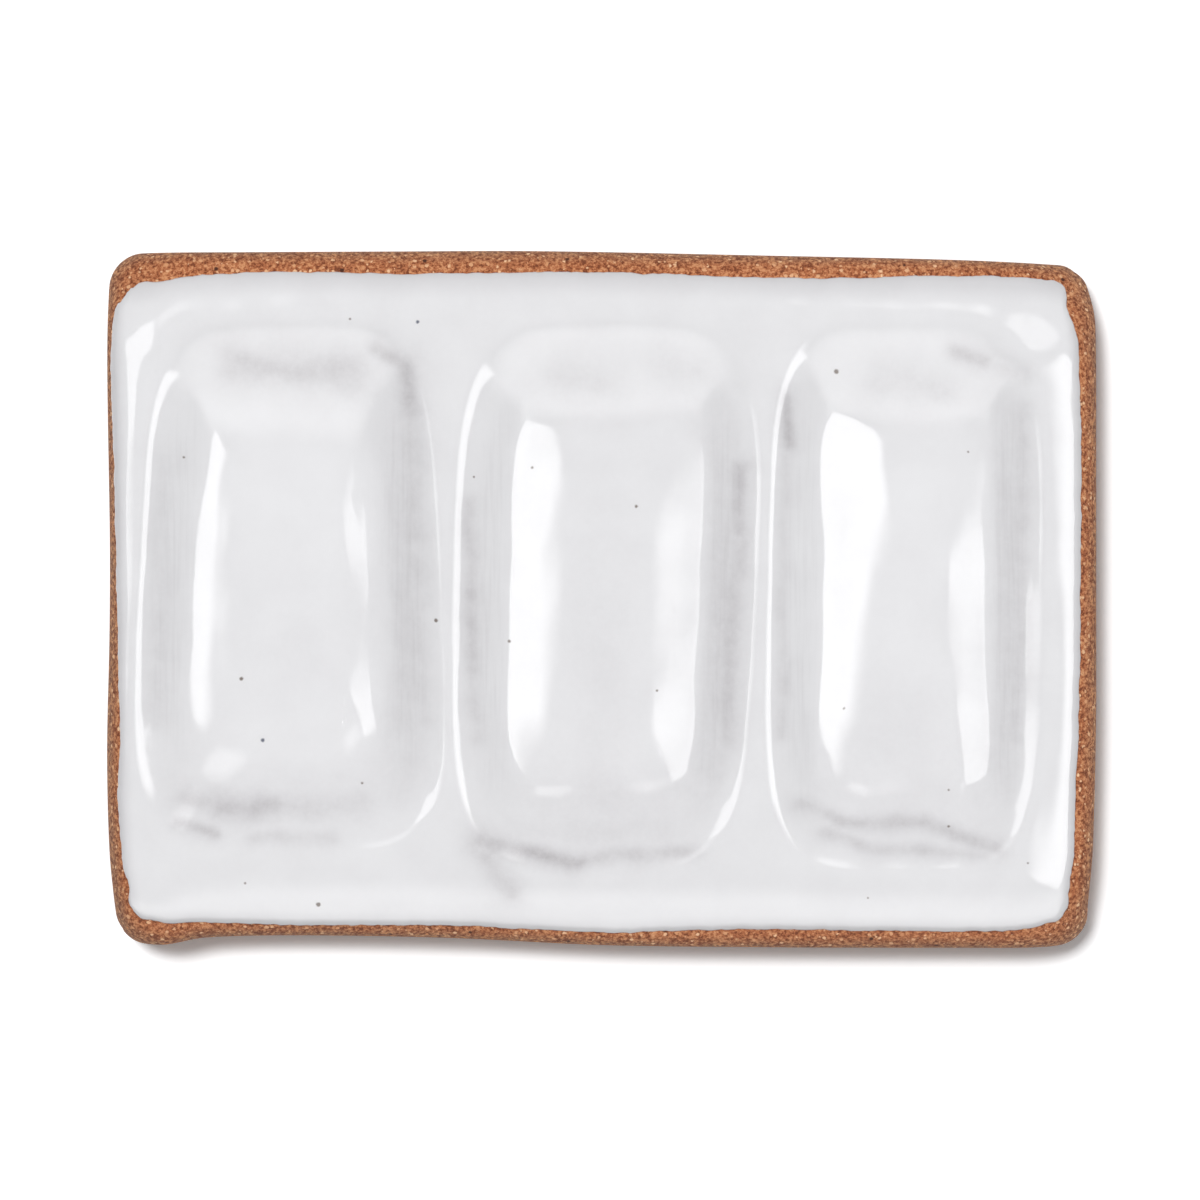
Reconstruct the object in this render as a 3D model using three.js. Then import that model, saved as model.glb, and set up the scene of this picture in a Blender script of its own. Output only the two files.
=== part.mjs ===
// A handmade ceramic paint palette: a slab of grogged red clay with three pressed wells in a row,
// under one coat of white glaze that covers the top and stops short of the slab's edge.
// Millimetres, +Z up. X runs along the row of wells, Y from the front edge to the back edge,
// and the bare base rests on Z = 0. The origin is the middle of the base.

import * as THREE from "three";
import { mergeVertices } from "three/addons/utils/BufferGeometryUtils.js";

// Plan sizes. The slab's length and width follow from the wells and the clay left round them.
const LEFT_WELL_WIDTH = 27.7;
const MIDDLE_WELL_WIDTH = 27.5;
const RIGHT_WELL_WIDTH = 25.1;
const WELL_LENGTH = 51.4;
const LEFT_WELL_SHORTER = 2.2; // the left well stops this much sooner at the front
const LEFT_RIDGE = 4.0;
const RIGHT_RIDGE = 3.9;
const LEFT_MARGIN = 4.9;
const RIGHT_MARGIN = 6.9;
const FRONT_MARGIN = 9.6;
const BACK_MARGIN = 9.5;
const CORNER_RADIUS = 3.5;

// Heights and thicknesses
const FLOOR_CLAY = 6.0; // clay left under a well's floor
const WALL_DROP = 1.2; // the steep part of a well, at its lip
const DISH_DROP = 4.2; // the shallow dish below it
const GLAZE_ON_LAND = 0.6;
const GLAZE_ON_LIP = 0.4;
const GLAZE_IN_WELL = 1.1;
const GLAZE_EDGE_ROLL = 1; // width over which the coat swells from nothing at its edge

// Roundings
const LIP_BLEND = 2.2; // height over which a lip rounds off
const PILLOW_DROP = 2.3; // how far the slab's top sinks towards its edge
const BROW_WIDTH = 1.8; // the tighter rounding at the very edge
const BROW_DROP = 1.6;
const FOOT_RADIUS = 1.2;

// Where a well's dish starts to follow its lip, where its wall ends, where its pooled glaze ends,
// and where the coat is back to its thickness on the land, all as shares of the way from the well's
// middle to its lip
const DISH_MIDDLE = 0.6;
const WALL_TOP = 1.04;
const POOL_END = 0.55;
const LAND_START = 1.12;

// Fineness of the surface: stations as shares of the way from a well's middle to its lip, shares of
// the land between two lips, and shares of the land from a lip out to the band laid out in rings
const ACROSS = [0, 0.22, 0.4, 0.55, 0.69, 0.81, 0.91, 1];
const ALONG = [0, 0.24, 0.44, 0.6, 0.71, 0.8, 0.87, 0.935, 1];
const ON_RIDGE = [0.3, 0.7];
const BESIDE_ROW = [0.5];
const BEYOND_ROW = [0.25, 0.55, 0.8];
const LEFT_BAND = 3.3;
const RIGHT_BAND = 4.8;
const END_BAND = 5.1;
const COAT_EDGE_STEPS = [0, 0.12, 0.45, 1];
const BROW_RINGS = 4;
const FOOT_RINGS = 3;
const CORNER_GATHER = 4; // how closely the stations gather towards a corner
const PROBE = 0.02; // step for reading a surface's slope

const LENGTH = LEFT_MARGIN + LEFT_WELL_WIDTH + LEFT_RIDGE + MIDDLE_WELL_WIDTH
  + RIGHT_RIDGE + RIGHT_WELL_WIDTH + RIGHT_MARGIN;
const WIDTH = FRONT_MARGIN + WELL_LENGTH + BACK_MARGIN;
const HALF_LENGTH = LENGTH / 2;
const HALF_WIDTH = WIDTH / 2;
const LAND = FLOOR_CLAY + DISH_DROP + WALL_DROP;

// A well lies between its lips.
function well(left, width, length, shape) {
  return {
    ...shape,
    x: left + width / 2,
    y: HALF_WIDTH - BACK_MARGIN - length / 2,
    halfWidth: width / 2,
    halfLength: length / 2,
  };
}

const LEFT_WELL_AT = LEFT_MARGIN - HALF_LENGTH;
const MIDDLE_WELL_AT = LEFT_WELL_AT + LEFT_WELL_WIDTH + LEFT_RIDGE;
const RIGHT_WELL_AT = MIDDLE_WELL_AT + MIDDLE_WELL_WIDTH + RIGHT_RIDGE;

// How each well was pressed. Squareness is the power of the superellipse that its plan follows. It
// widens towards the back by flare, and its middle line leans to the right by lean. Flatness is the
// power with which its floor rises sideways. The floor's lowest line lies off the middle by lowest
// and turns by slant, both as shares of the half width. The dish is deeper than the usual one by
// deeper, with a lower wall, and the wall's foot is a share of the way from the middle to the lip.
const LEFT_WELL_SHAPE = {
  squareness: 4.4,
  flare: -1.3,
  lean: 0,
  flatness: 2.73,
  lowest: 0,
  slant: 0.03,
  deeper: 0,
  wallFoot: 0.58,
};
const MIDDLE_WELL_SHAPE = {
  squareness: 4,
  flare: 0.35,
  lean: 0.9,
  flatness: 2.2,
  lowest: -0.017,
  slant: 0,
  deeper: 0.35,
  wallFoot: 0.71,
};
const RIGHT_WELL_SHAPE = {
  squareness: 4.4,
  flare: -0.05,
  lean: 0.4,
  flatness: 2.74,
  lowest: -0.025,
  slant: 0.12,
  deeper: 0.47,
  wallFoot: 0.7,
};
const END_FLATNESS = 4; // the power with which a floor rises towards its ends
const WELLS = [
  well(LEFT_WELL_AT, LEFT_WELL_WIDTH, WELL_LENGTH - LEFT_WELL_SHORTER, LEFT_WELL_SHAPE),
  well(MIDDLE_WELL_AT, MIDDLE_WELL_WIDTH, WELL_LENGTH, MIDDLE_WELL_SHAPE),
  well(RIGHT_WELL_AT, RIGHT_WELL_WIDTH, WELL_LENGTH, RIGHT_WELL_SHAPE),
];

// A soft bell-shaped hollow that a finger left in the right well's floor
const FINGER_HOLLOW = { x: 31.2, y: 5.5, halfWidth: 5, halfLength: 8, depth: 0.5 };

// Hand-formed edges, as pairs of a place round the slab and a distance inwards. The place runs
// from 0 to 4: along the front from its left corner, up the right side, back along the rear edge
// and down the left side. The first table is how far the slab falls short of a true rectangle,
// the second how wide a band of clay the glaze leaves bare, and the third the distance over which
// the slab's top sinks towards its edge.
const EDGE_SHORTFALL = [
  [0, 0.9], [0.055, 0.35], [0.1, 1.08], [0.2, 1.3], [0.35, 1.02], [0.5, 0.32], [0.66, 0.1], [0.85, 0.05],
  [0.95, 0.1], [1, 1], [1.06, 0.8], [1.15, 0.32], [1.35, 0], [1.7, 0], [1.9, 0.02],
  [1.96, 0.7], [2, 1.35], [2.05, 1.25], [2.17, 0.85], [2.33, 0.5], [2.56, 0.05], [2.72, 0.08], [2.9, 0.2],
  [2.97, 0.35], [3, 0.5], [3.05, 0.15], [3.18, 0.06], [3.42, 0.32], [3.55, 0.28], [3.72, 0.04],
  [3.86, 0.28], [3.95, 0.85],
];
const BARE_CLAY = [
  [0, 2.9], [0.06, 2.35], [0.12, 1.55], [0.2, 1.25], [0.28, 1.35], [0.38, 1.48], [0.52, 1.52], [0.62, 1.95],
  [0.74, 1.95], [0.87, 1.92], [0.92, 2.2], [0.97, 3.25], [1, 3.2], [1.06, 2.2], [1.2, 2.22], [1.4, 1.98],
  [1.7, 1.82], [1.88, 2.2], [1.95, 3], [2, 2.8], [2.05, 1.95], [2.16, 1.9], [2.29, 2.45], [2.5, 2.25],
  [2.68, 2.48], [2.84, 2.2], [2.92, 2.6], [2.97, 3.25], [3.01, 3.3], [3.06, 1.3], [3.12, 0.75], [3.3, 0.9],
  [3.45, 1.02], [3.6, 1.35], [3.7, 1.65], [3.79, 1.42], [3.86, 1.58], [3.94, 1.8],
];
const PILLOW_WIDTH = [
  [0, 5], [0.1, 8], [0.5, 8.5], [0.9, 8.5], [1, 8], [1.5, 8], [1.85, 8.5], [2, 12], [2.15, 11], [2.4, 9],
  [2.75, 9], [2.9, 10], [3, 9.5], [3.08, 8], [3.2, 5], [3.3, 3.7], [3.6, 3.5], [3.9, 3.6],
];

// The value of a table of pairs at a place round the slab: a smooth closed curve through them.
function follow(table, place) {
  const turn = 4;
  const count = table.length;
  const at = ((place % turn) + turn) % turn;
  let i = count - 1;
  while (table[i][0] > at) i -= 1;
  const knot = (k) => {
    const [where, value] = table[(k + count) % count];
    return [where + turn * Math.floor(k / count), value];
  };
  const [before, start, end, after] = [knot(i - 1), knot(i), knot(i + 1), knot(i + 2)];
  const span = end[0] - start[0];
  const f = (at - start[0]) / span;
  const slopeIn = ((end[1] - before[1]) / (end[0] - before[0])) * span;
  const slopeOut = ((after[1] - start[1]) / (after[0] - start[0])) * span;
  const rise = end[1] - start[1];
  const bend = 3 * rise - 2 * slopeIn - slopeOut;
  const twist = slopeIn + slopeOut - 2 * rise;
  return Math.max(start[1] + f * (slopeIn + f * (bend + f * twist)), 0);
}

// The four sides in order, each with the direction it runs in, the half sizes along it and across
// it, and the bands laid out in rings at its two ends.
const SIDES = [
  { along: [1, 0], half: HALF_LENGTH, out: HALF_WIDTH, bands: [LEFT_BAND, RIGHT_BAND] },
  { along: [0, 1], half: HALF_WIDTH, out: HALF_LENGTH, bands: [END_BAND, END_BAND] },
  { along: [-1, 0], half: HALF_LENGTH, out: HALF_WIDTH, bands: [RIGHT_BAND, LEFT_BAND] },
  { along: [0, -1], half: HALF_WIDTH, out: HALF_LENGTH, bands: [END_BAND, END_BAND] },
];

// A point's distance along a side from the side's middle, and its distance out from the slab's middle.
function besideSide({ along: [ax, ay] }, x, y) {
  return { run: ax * x + ay * y, reach: ay * x - ax * y };
}

// The value of one of the tables at a distance along a side.
function atSide(table, index, run) {
  return follow(table, index + (THREE.MathUtils.clamp(run / SIDES[index].half, -1, 1) + 1) / 2);
}

// The place on the outline that a point on the field of wells faces. The far ends of a side bend
// away from it and run half way round the rounded corners.
function outlineFor(index, x, y) {
  const side = SIDES[index];
  const { along: [ax, ay], half, out, bands } = side;
  const { run: start } = besideSide(side, x, y);
  const sign = Math.sign(start);
  const end = half - bands[start < 0 ? 0 : 1];
  const straight = half - CORNER_RADIUS;
  const whole = straight + (CORNER_RADIUS * Math.PI) / 4;
  const run = Math.abs(start) + (whole - end) * (Math.abs(start) / end) ** CORNER_GATHER;
  const turn = Math.max(run - straight, 0) / CORNER_RADIUS;
  const rounded = sign * (Math.min(run, straight) + CORNER_RADIUS * Math.sin(turn));
  const radius = CORNER_RADIUS - atSide(EDGE_SHORTFALL, index, rounded);
  const a = sign * (Math.min(run, straight) + radius * Math.sin(turn));
  const b = out - CORNER_RADIUS + radius * Math.cos(turn);
  return {
    edge: new THREE.Vector2(ax * a + ay * b, ay * a - ax * b),
    normal: new THREE.Vector2(
      ax * sign * Math.sin(turn) + ay * Math.cos(turn),
      ay * sign * Math.sin(turn) - ax * Math.cos(turn),
    ),
    bare: atSide(BARE_CLAY, index, rounded),
  };
}

// How far a point of the plan lies inside the slab's outline, and how far over towards its edge:
// 0 on the level middle and 1 at the edge, the root of the squares of the four sides' shares.
function placeOnSlab(x, y) {
  const sides = SIDES.map((side, index) => {
    const { run, reach } = besideSide(side, x, y);
    const gap = side.out - reach - atSide(EDGE_SHORTFALL, index, run);
    const share = THREE.MathUtils.clamp(1 - gap / atSide(PILLOW_WIDTH, index, run), 0, 1);
    return { gap, share };
  });
  const gaps = sides.map(({ gap }) => gap);
  const across = Math.max(CORNER_RADIUS - Math.min(gaps[1], gaps[3]), 0);
  const down = Math.max(CORNER_RADIUS - Math.min(gaps[0], gaps[2]), 0);
  const inside = across > 0 || down > 0 ? CORNER_RADIUS - Math.hypot(across, down) : Math.min(...gaps);
  return { inside, over: Math.hypot(...sides.map(({ share }) => share)) };
}

// The lower of two heights, rounded off where they meet.
function blendLower(a, b, blend) {
  const near = Math.max(blend - Math.abs(a - b), 0) / blend;
  return Math.min(a, b) - (near * near * blend) / 4;
}

// The place of a share of the way from a well's middle line to its side lip, at one y.
function acrossWell(shape, share, y) {
  const v = Math.tanh((y - shape.y) / shape.halfLength);
  return shape.x + shape.lean * v + share * (shape.halfWidth + shape.flare * v);
}

// A point's place in a well: across and along it in half sizes, and its superellipse radius.
function placeInWell(shape, x, y) {
  const middle = acrossWell(shape, 0, y);
  const u = (x - middle) / (acrossWell(shape, 1, y) - middle);
  const v = (y - shape.y) / shape.halfLength;
  const radius = (Math.abs(u) ** shape.squareness + Math.abs(v) ** shape.squareness) ** (1 / shape.squareness);
  return { u, v, radius };
}

// The height of a well's pressed surface: a dish inside a steeper wall, both carried on past the
// lip. Near its middle the dish rises sideways and towards its ends by their own powers. Towards
// the lip it comes to follow the superellipse, so that it meets the land level all round.
function wellHeight(shape, x, y) {
  const { u, v, radius } = placeInWell(shape, x, y);
  const off = Math.abs(u - (shape.lowest + shape.slant * v) * Math.max(1 - u * u, 0));
  const middle = off ** shape.flatness + v ** END_FLATNESS;
  const towardsEnd = radius > 0 ? (Math.abs(v) / radius) ** shape.squareness : 0;
  const rim = radius ** THREE.MathUtils.lerp(shape.flatness, END_FLATNESS, towardsEnd);
  const rise = THREE.MathUtils.lerp(middle, rim, THREE.MathUtils.smoothstep(radius, DISH_MIDDLE, 1));
  const wall = THREE.MathUtils.smoothstep(WALL_TOP - radius, 0, WALL_TOP - shape.wallFoot);
  return LAND - (DISH_DROP + shape.deeper) * (1 - rise) - (WALL_DROP - shape.deeper) * wall;
}

// The clay's height at a point of the plan: the land, pressed down by the wells and the finger's
// hollow, sunk like a pillow, and rounded off by a quarter ellipse at the brow. Known is the
// distance from the outline, where it is known exactly.
function clayHeight(x, y, known) {
  const { inside, over } = placeOnSlab(x, y);
  const pressed = WELLS.reduce((height, shape) => blendLower(height, wellHeight(shape, x, y), LIP_BLEND), LAND);
  const aside = (x - FINGER_HOLLOW.x) / FINGER_HOLLOW.halfWidth;
  const along = (y - FINGER_HOLLOW.y) / FINGER_HOLLOW.halfLength;
  const hollow = FINGER_HOLLOW.depth * Math.exp(-aside * aside - along * along);
  const sunk = (PILLOW_DROP * (over ** 2 + over ** 4)) / 2;
  const rest = 1 - THREE.MathUtils.clamp((known ?? inside) / BROW_WIDTH, 0, 1);
  return pressed - hollow - sunk - BROW_DROP * (1 - Math.sqrt(1 - rest * rest));
}

// The coat is thin on the lips, thicker on the land and thickest where it pooled in the wells.
function glazeThickness(x, y) {
  return WELLS.reduce((thickness, shape) => {
    const { radius } = placeInWell(shape, x, y);
    const upWall = THREE.MathUtils.smoothstep(radius, POOL_END, 1);
    const overLip = THREE.MathUtils.smoothstep(radius, 1, LAND_START);
    return THREE.MathUtils.lerp(THREE.MathUtils.lerp(GLAZE_IN_WELL, GLAZE_ON_LIP, upWall), thickness, overLip);
  }, GLAZE_ON_LAND);
}

// The clay's surface point.
function clayPoint(x, y, known) {
  return new THREE.Vector3(x, y, clayHeight(x, y, known));
}

// The coat's surface straight out from a clay point. Near its edge the coat swells up from
// nothing, in a quarter of an ellipse, as swell goes from 0 to 1.
function glazePoint(clay, swell = 1) {
  const { x, y } = clay;
  const slopeX = (clayHeight(x + PROBE, y) - clayHeight(x - PROBE, y)) / (2 * PROBE);
  const slopeY = (clayHeight(x, y + PROBE) - clayHeight(x, y - PROBE)) / (2 * PROBE);
  const thickness = glazeThickness(x, y) * Math.sqrt(1 - (1 - swell) ** 2);
  return new THREE.Vector3(-slopeX, -slopeY, 1).setLength(thickness).add(clay);
}

// Stations on both sides of a middle, and stations in the land between two lines.
function bothSides(shares) {
  return [...shares.slice(1).map((share) => -share).reverse(), ...shares];
}

function landBetween(from, to, shares) {
  return shares.map((share) => (y) => THREE.MathUtils.lerp(from(y), to(y), share));
}

// Stations across the row of wells, as functions of y that follow each well's own sides.
const leftLip = (shape) => (y) => acrossWell(shape, -1, y);
const rightLip = (shape) => (y) => acrossWell(shape, 1, y);
const fieldLeft = () => LEFT_BAND - HALF_LENGTH;
const fieldRight = () => HALF_LENGTH - RIGHT_BAND;
const [leftWell, middleWell, rightWell] = WELLS;
const throughWell = (shape) => bothSides(ACROSS).map((share) => (y) => acrossWell(shape, share, y));
const COLUMNS = [
  fieldLeft,
  ...landBetween(fieldLeft, leftLip(leftWell), BESIDE_ROW),
  ...throughWell(leftWell),
  ...landBetween(rightLip(leftWell), leftLip(middleWell), ON_RIDGE),
  ...throughWell(middleWell),
  ...landBetween(rightLip(middleWell), leftLip(rightWell), ON_RIDGE),
  ...throughWell(rightWell),
  ...landBetween(fieldRight, rightLip(rightWell), BESIDE_ROW),
  fieldRight,
];

// Rows of stations from the front of the slab to its back.
const MIDDLE_Y = (FRONT_MARGIN - BACK_MARGIN) / 2;
const FRONT_LIP = MIDDLE_Y - WELL_LENGTH / 2;
const BACK_LIP = MIDDLE_Y + WELL_LENGTH / 2;
const ROWS = [
  END_BAND - HALF_WIDTH,
  ...[...BEYOND_ROW].reverse().map((share) => THREE.MathUtils.lerp(FRONT_LIP, END_BAND - HALF_WIDTH, share)),
  ...bothSides(ALONG).map((share) => MIDDLE_Y + (share * WELL_LENGTH) / 2),
  ...BEYOND_ROW.map((share) => THREE.MathUtils.lerp(BACK_LIP, HALF_WIDTH - END_BAND, share)),
  HALF_WIDTH - END_BAND,
];

// The wells and the land between them, as rows of clay points.
const clayField = ROWS.map((y) => COLUMNS.map((column) => clayPoint(column(y), y)));
const glazeField = clayField.map((row) => row.map((point) => glazePoint(point)));

// A field's outer points in order round it.
function roundField(field) {
  const last = field.length - 1;
  const end = field[0].length - 1;
  return [
    field[0].slice(0, end),
    field.slice(0, last).map((row) => row[end]),
    field[last].slice(1).reverse(),
    field.slice(1).reverse().map((row) => row[0]),
  ];
}

// Stations round the slab. Each leads inwards from the outline to a point of the field.
const stations = roundField(clayField).flatMap((side, index) => side.map(({ x, y }) => {
  const { edge, normal, bare } = outlineFor(index, x, y);
  const field = new THREE.Vector2(x, y);
  const inward = field.clone().sub(edge);
  inward.divideScalar(-inward.dot(normal));
  return { edge, inward, bare, field };
}));
const inset = ({ edge, inward }, distance) => edge.clone().addScaledVector(inward, distance);

// Rings under the coat, from its edge inwards to the field: the first ones over the rounded edge,
// the last of them half way on to the field.
function coatRing(gapFor) {
  return stations.map((station) => {
    const edge = inset(station, station.bare);
    const whole = edge.distanceTo(station.field);
    const roll = Math.min(GLAZE_EDGE_ROLL, whole / 2);
    const gap = gapFor(roll, whole);
    const { x, y } = edge.lerp(station.field, gap / whole);
    return { clay: clayPoint(x, y), swell: Math.min(gap / roll, 1) };
  });
}

const coatRings = [
  ...COAT_EDGE_STEPS.map((share) => coatRing((roll) => share * roll)),
  coatRing((roll, whole) => (roll + whole) / 2),
];
const clayCollar = [...coatRings.map((ring) => ring.map(({ clay }) => clay)), roundField(clayField).flat()];
const glazeCollar = [
  ...coatRings.map((ring) => ring.map(({ clay, swell }) => (swell > 0 ? glazePoint(clay, swell) : clay))),
  roundField(glazeField).flat(),
];

// Rings of bare clay, from the base up over the foot and the side, and in over the brow, where they
// gather towards the outline.
const footRings = Array.from({ length: FOOT_RINGS + 1 }, (_, r) => {
  const turn = ((r / FOOT_RINGS) * Math.PI) / 2;
  return stations.map((station) => {
    const { x, y } = inset(station, FOOT_RADIUS * (1 - Math.sin(turn)));
    return new THREE.Vector3(x, y, FOOT_RADIUS * (1 - Math.cos(turn)));
  });
});
const browRings = Array.from({ length: BROW_RINGS }, (_, r) => stations.map((station) => {
  const gap = station.bare * (r / BROW_RINGS) ** 2;
  const { x, y } = inset(station, gap);
  return clayPoint(x, y, gap);
}));

// Joins rows of points into triangles. Both faces of one sheet use the same diagonals, so the
// underside of the coat is exactly the clay that it lies on.
function sheet(rows, facesDown = false) {
  const triangles = [];
  rows.slice(1).forEach((upper, j) => {
    const lower = rows[j];
    upper.slice(1).forEach((c, i) => {
      const [a, b, d] = [lower[i], lower[i + 1], upper[i]];
      triangles.push(...(facesDown ? [a, d, c, a, c, b] : [a, b, c, a, c, d]));
    });
  });
  return triangles;
}

const closed = (rings) => rings.map((ring) => [...ring, ring[0]]);

function fan(ring, middle) {
  return ring.flatMap((point, k) => [middle, ring[(k + 1) % ring.length], point]);
}

function solid(name, triangles, material) {
  const geometry = mergeVertices(new THREE.BufferGeometry().setFromPoints(triangles));
  geometry.computeVertexNormals();
  const mesh = new THREE.Mesh(geometry, new THREE.MeshStandardMaterial(material));
  mesh.name = name;
  return mesh;
}

// The slab: bare base, side and brow, and the pressed top that the coat covers.
const clayBody = solid("clay_body", [
  ...fan(footRings[0], new THREE.Vector3(0, 0, 0)),
  ...sheet(closed([...footRings, ...browRings, ...clayCollar])),
  ...sheet(clayField),
], { color: 0xa9643f, roughness: 0.85, metalness: 0 });

// The coat: one skin of fired glass, lying face to face on the clay.
const glazeCoat = solid("glaze_coat", [
  ...sheet(closed(glazeCollar)),
  ...sheet(glazeField),
  ...sheet(closed(clayCollar), true),
  ...sheet(clayField, true),
], { color: 0xe9eaec, roughness: 0.08, metalness: 0 });

const palette = new THREE.Group();
palette.name = "ceramic_paint_palette";
palette.add(clayBody, glazeCoat);

export default palette;
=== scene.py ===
"""Looks of a handmade ceramic paint palette: grogged red clay under one coat of white glaze.

Laid out as an add-on and run as a script. Shapes are worked out in millimetres in the part's own
frame (X along the row of wells, Y from front to back, Z up from the base) and set down in metres.
"""

from types import SimpleNamespace

import bpy
import numpy as np
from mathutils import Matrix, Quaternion, Vector


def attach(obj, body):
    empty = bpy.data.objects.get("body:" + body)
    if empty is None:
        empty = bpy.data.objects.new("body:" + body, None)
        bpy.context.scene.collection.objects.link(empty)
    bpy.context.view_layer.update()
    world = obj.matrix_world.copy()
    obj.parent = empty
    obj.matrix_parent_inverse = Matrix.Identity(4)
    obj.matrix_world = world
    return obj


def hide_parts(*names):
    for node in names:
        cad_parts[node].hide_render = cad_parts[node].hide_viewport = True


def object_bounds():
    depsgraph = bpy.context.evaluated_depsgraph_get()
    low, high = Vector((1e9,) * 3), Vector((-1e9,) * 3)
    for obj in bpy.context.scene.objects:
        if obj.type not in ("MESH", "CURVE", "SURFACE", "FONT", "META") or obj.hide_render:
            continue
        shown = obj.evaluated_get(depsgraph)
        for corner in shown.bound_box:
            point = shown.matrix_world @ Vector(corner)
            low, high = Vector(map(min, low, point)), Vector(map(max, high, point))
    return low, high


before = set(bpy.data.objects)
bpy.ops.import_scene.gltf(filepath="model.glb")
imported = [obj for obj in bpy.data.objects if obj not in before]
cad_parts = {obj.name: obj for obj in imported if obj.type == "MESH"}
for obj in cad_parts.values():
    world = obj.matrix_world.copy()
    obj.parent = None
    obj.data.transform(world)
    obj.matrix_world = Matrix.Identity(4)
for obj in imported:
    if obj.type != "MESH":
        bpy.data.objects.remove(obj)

bl_info = {
    "name": "Ceramic paint palette",
    "version": (1, 0, 0),
    "blender": (4, 5, 0),
    "location": "3D View > Sidebar > Palette",
    "description": "A handmade clay paint palette with three pressed wells under white glaze",
    "category": "Object",
}

MM = 0.001
CAD_BOX = [list(corner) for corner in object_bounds()]
HALF_LENGTH = (CAD_BOX[1][0] - CAD_BOX[0][0]) / 2 / MM
HALF_WIDTH = (CAD_BOX[1][1] - CAD_BOX[0][1]) / 2 / MM
TOP = CAD_BOX[1][2] / MM

# Sizes in mm that are not in the panel
CORNER_RADIUS = 3.5
BLEND_LIP = 2.2  # height over which a lip rounds off
BACK_MARGIN = 9.5  # from the slab's back edge to the wells
LEFT_MARGIN = 4.9  # from the slab's left edge to the left well
RIDGES = (4.0, 3.9)  # between the left and middle, and the middle and right well
FOOT_RADIUS = 1.2
PILLOW_DROP = 2.3  # how far the slab sinks from its middle to its edge
BROW_WIDTH, BROW_DROP = 1.8, 1.6  # rounding at the very edge
BANDS = ((3.3, 4.8), (5.1, 5.1), (4.8, 3.3), (5.1, 5.1))  # ringed bands at each side's two ends
HOLLOWS_START = 3.0  # how far in from the edge the finger hollows reach their full depth

# Shares of the way from a well's middle to its lip: where the dish starts to take the lip's
# outline, where the wall ends, where the pooled coat starts to thin, and where it is full again
DISH_MIDDLE = 0.6
WALL_TOP = 1.04
POOL_END = 0.55
LAND_START = 1.12

# Closed tables of a place round the slab (0 to 4 from the front left corner, counter-clockwise from
# above) and a distance inwards in mm: how far the hand-cut slab falls short of a true rectangle,
# and how wide a band of clay the glaze leaves bare
EDGE_SHORTFALL = (
    (0, 0.9), (0.055, 0.35), (0.1, 1.08), (0.2, 1.3), (0.35, 1.02), (0.5, 0.32), (0.66, 0.1),
    (0.85, 0.05), (0.95, 0.1), (0.989, 0.5), (1.015, 0.55), (1.06, 0.75), (1.15, 0.32), (1.35, 0),
    (1.7, 0), (1.9, 0.02), (1.96, 0.8), (1.985, 1.25), (2.011, 1.3), (2.05, 1.25), (2.17, 0.85),
    (2.33, 0.5), (2.56, 0.05), (2.72, 0.08), (2.9, 0.16), (2.97, 0.15), (3.02, 0.12), (3.06, 0.1),
    (3.18, 0.06), (3.42, 0.32), (3.55, 0.28), (3.72, 0.04), (3.86, 0.28), (3.95, 0.85),
)
BARE_CLAY = (
    (0, 2.9), (0.06, 2.35), (0.12, 1.55), (0.2, 1.25), (0.28, 1.35), (0.38, 1.48), (0.52, 1.52),
    (0.62, 1.95), (0.74, 1.95), (0.87, 1.85), (0.92, 1.95), (0.95, 2.25), (0.975, 2.85),
    (0.989, 3.1), (1.015, 3.1), (1.06, 2.3), (1.2, 2.22), (1.4, 1.98), (1.7, 1.82), (1.88, 2.15),
    (1.93, 2.6), (1.965, 2.6), (1.985, 2.35), (2.011, 2.3), (2.035, 1.8), (2.06, 1.65),
    (2.16, 1.8), (2.29, 2.4), (2.5, 2.25), (2.68, 2.48), (2.84, 2.2), (2.92, 2.6), (2.97, 3.25),
    (3.01, 3.3), (3.06, 1.3), (3.12, 0.75), (3.3, 0.9), (3.45, 1.02), (3.6, 1.35), (3.7, 1.65),
    (3.79, 1.42), (3.86, 1.58), (3.94, 1.8),
)

# The same for the distance over which the slab's top sinks towards its edge
PILLOW_WIDTH = (
    (0, 5), (0.1, 8), (0.5, 8.5), (0.9, 8.5), (1, 8), (1.5, 8), (1.85, 8.5), (2, 12), (2.15, 11),
    (2.4, 9), (2.75, 9), (2.9, 10), (3, 9.5), (3.08, 8), (3.2, 5), (3.3, 3.7), (3.6, 3.5),
    (3.9, 3.6),
)

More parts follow.
